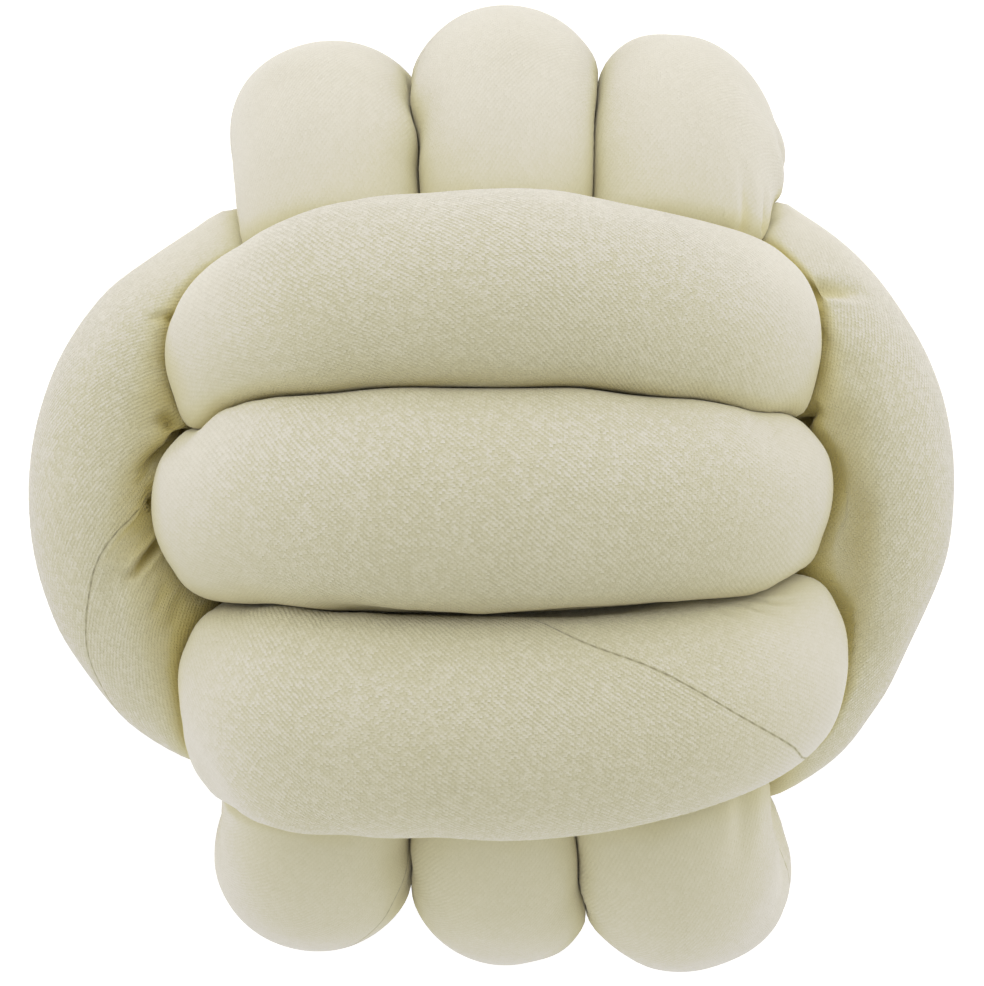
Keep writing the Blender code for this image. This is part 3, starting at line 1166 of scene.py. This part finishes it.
class Wiring:
    """Adds and joins the nodes of one tree."""

    def __init__(self, tree: bpy.types.NodeTree) -> None:
        """Keeps the tree."""
        self.tree = tree

    def feed(self, socket: bpy.types.NodeSocket, value: object) -> None:
        """Gives an input a value, or joins another node's output to it.

        Args:
            socket: the input.
            value: the value, or the output's socket.
        """
        if isinstance(value, bpy.types.NodeSocket):
            self.tree.links.new(value, socket)
        else:
            socket.default_value = value

    def add(self, kind: str, inputs: Optional[dict] = None, **settings: object) -> bpy.types.Node:
        """Adds a node.

        Args:
            kind: the node's type.
            inputs: values or output sockets for its inputs, by name or number.
            settings: the node's own properties.

        Returns:
            The node.
        """
        node = self.tree.nodes.new(kind)
        for name, value in settings.items():
            setattr(node, name, value)
        for name, value in (inputs or {}).items():
            self.feed(node.inputs[name], value)
        return node

    def maths(self, operation: str, *values: object) -> bpy.types.NodeSocket:
        """The result of a sum on numbers or sockets."""
        return self.add("ShaderNodeMath", dict(enumerate(values)), operation=operation).outputs[0]

    def plus(self, first: object, second: object) -> bpy.types.NodeSocket:
        """Two numbers or sockets added."""
        return self.maths("ADD", first, second)

    def minus(self, first: object, second: object) -> bpy.types.NodeSocket:
        """The second number or socket taken from the first."""
        return self.maths("SUBTRACT", first, second)

    def times(self, first: object, second: object) -> bpy.types.NodeSocket:
        """Two numbers or sockets multiplied."""
        return self.maths("MULTIPLY", first, second)

    def over(self, first: object, second: object) -> bpy.types.NodeSocket:
        """The first number or socket divided by the second."""
        return self.maths("DIVIDE", first, second)

    def wave(self, turns: object) -> bpy.types.NodeSocket:
        """A sine wave that has made a number of turns."""
        return self.maths("SINE", self.times(turns, TURN))

    def noise(
        self, place: object, scale: object, detail: float = 2.0, roughness: float = 0.5
    ) -> bpy.types.NodeSocket:
        """Smooth noise around a half.

        Args:
            place: the coordinates' socket.
            scale: how many lumps a metre holds.
            detail: how many finer layers it has.
            roughness: how strong those are.

        Returns:
            The noise's socket.
        """
        inputs = {"Vector": place, "Scale": scale, "Detail": detail, "Roughness": roughness}
        return self.add("ShaderNodeTexNoise", inputs).outputs[0]

    def ramp(self, value: object, start: float, end: float, low: float = 0.0) -> bpy.types.NodeSocket:
        """A value's way from start to end as a share, level before and after.

        Args:
            value: the socket.
            start: where the share starts to rise.
            end: where it is 1.
            low: the share before that.

        Returns:
            The share's socket.
        """
        inputs = {"Value": value, "From Min": start, "From Max": end, "To Min": low}
        return self.add("ShaderNodeMapRange", inputs).outputs[0]

    def blend(self, share: object, first: object, second: object) -> bpy.types.NodeSocket:
        """A colour mixed from two.

        Args:
            share: how much of the second.
            first: a colour, or a socket that gives one.
            second: the other colour.

        Returns:
            The mixed colour's socket.
        """
        node = self.add("ShaderNodeMix", data_type="RGBA")
        for name, value in (("Factor", share), ("A", first), ("B", second)):
            kind = "VALUE" if name == "Factor" else "RGBA"
            self.feed(next(s for s in node.inputs if s.name == name and s.type == kind), value)
        return next(s for s in node.outputs if s.type == "RGBA")


def new_group(name: str, inputs: dict[str, Optional[float]], outputs: tuple[str, ...]) -> tuple:
    """Starts a shader node group.

    Args:
        name: the group's name.
        inputs: default values by name, or None for a vector.
        outputs: the names of the values that it gives.

    Returns:
        The group, its wiring, its inputs' sockets and the node that its outputs go to.
    """
    group = bpy.data.node_groups.new(name, "ShaderNodeTree")
    for label, value in inputs.items():
        kind = "NodeSocketVector" if value is None else "NodeSocketFloat"
        socket = group.interface.new_socket(label, in_out="INPUT", socket_type=kind)
        if value is not None:
            socket.default_value = value
    for label in outputs:
        group.interface.new_socket(label, in_out="OUTPUT", socket_type="NodeSocketFloat")
    wiring = Wiring(group)
    return group, wiring, wiring.add("NodeGroupInput").outputs, wiring.add("NodeGroupOutput")


def knit_group() -> bpy.types.NodeTree:
    """Fine ribs of stretch knit, each a row of small stitches.

    Returns:
        The group: the cloth's own coordinates in metres and how slack it is go in, and a
        height and a mask of the furrows between ribs come out.
    """
    sizes = {
        "Cloth": None,
        "Slack": 1.0,
        "Rib Pitch": 0.92 * MM,
        "Stitch Pitch": 0.8 * MM,
        "Wander": 0.9,
        "Wander Scale": 200.0,
        "Slant": 0.22,
        "Rib Height": 0.3,
        "Stitch Height": 0.14,
        "Patch Scale": 38.0,
        "Fuzz": 1.6,
        "Fuzz Scale": 1900.0,
        "Slub": 0.5,
        "Relief": 1.2,
    }
    group, wiring, given, put = new_group("fine_knit", sizes, ("Height", "Furrow"))
    cloth = given["Cloth"]
    drift = wiring.minus(wiring.noise(cloth, given["Wander Scale"]), 0.5)
    wander = wiring.times(drift, given["Wander"])
    parts = wiring.add("ShaderNodeSeparateXYZ", {0: cloth})
    turns = wiring.plus(wiring.over(parts.outputs[1], given["Rib Pitch"]), wander)
    rib = wiring.wave(turns)
    steps = wiring.over(parts.outputs[0], given["Stitch Pitch"])
    steps = wiring.plus(wiring.plus(steps, wiring.times(rib, given["Slant"])), wander)
    stitches = wiring.times(wiring.wave(steps), given["Stitch Height"])
    strength = wiring.ramp(wiring.noise(cloth, given["Patch Scale"]), 0.35, 0.65, low=0.4)
    ribs = wiring.times(wiring.times(rib, given["Rib Height"]), strength)
    fuzz = wiring.minus(wiring.noise(cloth, given["Fuzz Scale"], roughness=0.6), 0.5)
    height = wiring.plus(wiring.plus(ribs, stitches), wiring.times(fuzz, given["Fuzz"]))
    row = wiring.maths("FLOOR", wiring.plus(turns, 0.25))
    cell = wiring.add("ShaderNodeCombineXYZ", {0: wiring.maths("FLOOR", steps), 1: row})
    yarn = wiring.add("ShaderNodeTexWhiteNoise", {"Vector": cell.outputs[0]}, noise_dimensions="2D")
    slub = wiring.times(wiring.minus(yarn.outputs[0], 0.5), given["Slub"])
    height = wiring.times(wiring.plus(height, slub), given["Slack"])
    height = wiring.plus(wiring.times(height, given["Relief"]), 0.5)
    wiring.feed(put.inputs["Height"], height)
    wiring.feed(put.inputs["Furrow"], wiring.minus(1.0, height))
    return group


def seam_group() -> bpy.types.NodeTree:
    """The fine line of a seam at the edge of the cloth.

    Returns:
        The group: the cloth's own coordinates and its girth go in, and a mask of the line
        and its height come out.
    """
    sizes = {
        "Cloth": None,
        "Girth": GIRTH,
        "Width": 0.32 * MM,
        "Stitch": 2.4 * MM,
        "Pull": 0.2,
    }
    group, wiring, given, put = new_group("seam_line", sizes, ("Line", "Height"))
    parts = wiring.add("ShaderNodeSeparateXYZ", {0: given["Cloth"]})
    away = wiring.minus(given["Girth"], parts.outputs[1])
    away = wiring.over(wiring.maths("MINIMUM", parts.outputs[1], away), given["Width"])
    line = wiring.maths("EXPONENT", wiring.times(wiring.maths("POWER", away, 2.0), -1.0))
    pull = wiring.times(wiring.wave(wiring.over(parts.outputs[0], given["Stitch"])), given["Pull"])
    line = wiring.times(line, wiring.plus(wiring.minus(1.0, given["Pull"]), pull))
    wiring.feed(put.inputs["Line"], line)
    wiring.feed(put.inputs["Height"], wiring.times(line, -1.0))
    return group


@dataclass(frozen=True)
class KnitFinish:
    """Matt cream stretch knit with fine leaning ribs, and painted shade in its hollows."""

    cream: tuple = (0.70, 0.665, 0.515, 1.0)
    # shade: the darker tone of the random mottle, and painted shade in the furrows; olive and brown:
    # painted shade where the cloth is closed in
    shade: tuple = (0.57, 0.535, 0.38, 1.0)
    olive_shade: tuple = (0.52, 0.445, 0.17, 1.0)
    brown_shade: tuple = (0.50, 0.42, 0.15, 1.0)
    seam: tuple = (0.20, 0.17, 0.09, 1.0)
    tone_scale: float = 22.0
    tone_middle: float = 0.4  # noise above it darkens the tone
    tone_share: float = 0.6
    # How far the furrows between ribs take painted shade
    furrow_share: float = 0.9
    nook_from: float = 0.12
    nook_full: float = 0.75  # painted olive shade up to here, and painted brown shade above
    nook_share: float = 0.9
    seam_share: float = 0.75
    roughness: float = 0.92
    shine: float = 0.2
    sheen: float = 0.25
    sheen_roughness: float = 0.5
    relief: float = 0.16 * MM

    def colour(self, wiring: Wiring, furrow: object, line: object) -> bpy.types.NodeSocket:
        """The cloth's colour: mottled, with painted shade in its furrows and where it is closed in.

        Args:
            wiring: the material's nodes.
            furrow: the mask of the furrows between ribs.
            line: the mask of the seam.

        Returns:
            The colour's socket.
        """
        place = wiring.add("ShaderNodeTexCoord").outputs["Object"]
        # Random mottle in the tone, and painted shade in the furrows between ribs
        tone = wiring.minus(wiring.noise(place, self.tone_scale, detail=3.0), self.tone_middle)
        mottle = wiring.times(tone, self.tone_share)
        share = wiring.plus(mottle, wiring.times(furrow, self.furrow_share))
        share = wiring.add("ShaderNodeClamp", {0: share}).outputs[0]
        # Painted shade where the cloth is closed in: olive, and brown where it is most closed in
        painted_shade = wiring.add("ShaderNodeAttribute", attribute_name="painted_shade").outputs["Fac"]
        deep = wiring.ramp(painted_shade, self.nook_from, self.nook_full)
        colour = wiring.blend(share, self.cream, self.shade)
        colour = wiring.blend(wiring.times(deep, self.nook_share), colour, self.olive_shade)
        colour = wiring.blend(wiring.ramp(painted_shade, self.nook_full, 1.0), colour, self.brown_shade)
        return wiring.blend(wiring.times(line, self.seam_share), colour, self.seam)

    def build(self) -> bpy.types.Material:
        """The cloth's material.

        Returns:
            The material.
        """
        material = bpy.data.materials.new("cream_knit_cloth")
        material.use_nodes = True
        wiring = Wiring(material.node_tree)
        cloth = wiring.add("ShaderNodeUVMap", uv_map="cloth").outputs[0]
        ribs = wiring.add("ShaderNodeUVMap", uv_map="ribs").outputs[0]
        slack = wiring.add("ShaderNodeAttribute", attribute_name="slack").outputs["Fac"]
        knit = wiring.add("ShaderNodeGroup", node_tree=knit_group())
        wiring.feed(knit.inputs["Cloth"], ribs)
        wiring.feed(knit.inputs["Slack"], slack)
        seam = wiring.add("ShaderNodeGroup", node_tree=seam_group())
        wiring.feed(seam.inputs["Cloth"], cloth)
        height = wiring.plus(knit.outputs["Height"], seam.outputs["Height"])
        bump = wiring.add(
            "ShaderNodeBump", {"Height": height, "Strength": 1.0, "Distance": self.relief}
        )
        looks = {
            "Base Color": self.colour(wiring, knit.outputs["Furrow"], seam.outputs["Line"]),
            "Normal": bump.outputs[0],
            "Roughness": self.roughness,
            "Specular IOR Level": self.shine,
            "Sheen Weight": self.sheen,
            "Sheen Roughness": self.sheen_roughness,
        }
        shader = material.node_tree.nodes["Principled BSDF"]
        for name, value in looks.items():
            wiring.feed(shader.inputs[name], value)
        return material


@dataclass(frozen=True)
class FloorFinish:
    """A plain pale floor that glows a little, so that it shows as white."""

    tone: tuple = (0.93, 0.93, 0.92, 1.0)
    roughness: float = 0.9
    glow: float = 0.42

    def build(self) -> bpy.types.Material:
        """The floor's material.

        Returns:
            The material.
        """
        material = bpy.data.materials.new("pale_floor")
        material.use_nodes = True
        shader = material.node_tree.nodes["Principled BSDF"]
        shader.inputs["Base Color"].default_value = self.tone
        shader.inputs["Roughness"].default_value = self.roughness
        shader.inputs["Emission Color"].default_value = WHITE
        shader.inputs["Emission Strength"].default_value = self.glow
        return material


@dataclass
class Studio:
    """A plain pale floor, soft light, and a camera straight above the cushion's face."""

    camera_distance: float = 1.0
    camera_tilt: float = math.radians(4.5)  # towards +Y
    view_width: float = 0.2952  # metres across the view at the ball's middle
    sensor_width: float = 36.0
    near_limit: float = 0.05
    floor_size: float = 3.0
    floor_drop: float = 0.2 * MM
    wall_light: float = 1.14  # from all round at the level of the cushion, none from above
    side_light: float = 0.34  # more, from both ends of X
    far_light: float = 0.21  # more from +Y, and less from -Y
    top_light: float = 0.75  # from above
    # The camera's colours: dim cream looks warmer, and bright cream cooler
    blue_response: tuple = ((0.2, 0.192), (0.3, 0.276), (0.38, 0.362), (0.44, 0.445), (0.52, 0.575))
    key_place: tuple = (0.0, 1.1, 1.3)  # from the ball's middle
    key_size: float = 1.4
    key_power: float = 5.8

    def floor(self) -> None:
        """The floor, which isn't part of the cushion."""
        sheet = bmesh.new()
        bmesh.ops.create_grid(sheet, x_segments=2, y_segments=2, size=self.floor_size / 2.0)
        bmesh.ops.translate(sheet, verts=sheet.verts, vec=(0.0, 0.0, -self.floor_drop))
        floor = new_object("floor", sheet)
        floor.data.materials.append(FloorFinish().build())

    def key(self) -> None:
        """A broad square light above the far side, which faces the ball."""
        data = bpy.data.lights.new("key", "AREA")
        data.shape = "SQUARE"
        data.size = self.key_size
        data.energy = self.key_power
        place = Vector(self.key_place)
        lamp = bpy.data.objects.new("key", data)
        lamp.location = MIDDLE + place
        lamp.rotation_euler = (-place).to_track_quat("-Z", "Y").to_euler()
        bpy.context.scene.collection.objects.link(lamp)

    def walls(self) -> None:
        """Pale walls of light all round."""
        world = bpy.data.worlds.new("studio")
        world.use_nodes = True
        wiring = Wiring(world.node_tree)
        way = wiring.add("ShaderNodeTexCoord").outputs["Generated"]
        across, ahead, rise = wiring.add("ShaderNodeSeparateXYZ", {0: way}).outputs
        up = wiring.maths("POWER", rise, 2.0)
        level = wiring.maths("POWER", wiring.minus(1.0, up), 2.0)
        side = wiring.times(wiring.maths("POWER", across, 2.0), self.side_light)
        slope = wiring.times(ahead, self.far_light)
        total = wiring.times(wiring.plus(wiring.plus(side, slope), self.wall_light), level)
        total = wiring.plus(total, wiring.times(up, self.top_light))
        sky = world.node_tree.nodes["Background"]
        wiring.feed(sky.inputs["Color"], WHITE)
        wiring.feed(sky.inputs["Strength"], total)
        bpy.context.scene.world = world

    def colours(self) -> None:
        """How the camera renders colours."""
        view = bpy.context.scene.view_settings
        view.view_transform = "Standard"
        view.use_curve_mapping = True
        blue = view.curve_mapping.curves[2]
        for given, shown in self.blue_response:
            blue.points.new(given, shown)
        view.curve_mapping.update()

    def camera(self) -> None:
        """The camera, looking at the ball's middle with +Y up in the view."""
        data = bpy.data.cameras.new("camera")
        data.sensor_width = self.sensor_width
        data.lens = self.sensor_width * self.camera_distance / self.view_width
        data.clip_start = self.near_limit
        backward = Vector((0.0, math.sin(self.camera_tilt), math.cos(self.camera_tilt)))
        right = Vector((1.0, 0.0, 0.0))
        turn = Matrix((right, backward.cross(right), backward)).transposed().to_4x4()
        eye = bpy.data.objects.new("camera", data)
        eye.matrix_world = Matrix.Translation(MIDDLE + backward * self.camera_distance) @ turn
        bpy.context.scene.collection.objects.link(eye)
        bpy.context.scene.camera = eye

    def build(self) -> None:
        """Sets the whole studio up."""
        self.floor()
        self.key()
        self.walls()
        self.colours()
        self.camera()


def main() -> None:
    """Builds the cushion and its studio in order."""
    logging.basicConfig(level=logging.INFO, format="%(message)s")
    tube = KnitTube().build()
    tube.data.materials.append(KnitFinish().build())
    log.info("%s: %d faces", tube.name, len(tube.data.polygons))
    Studio().build()


if __name__ == "__main__":
    main()
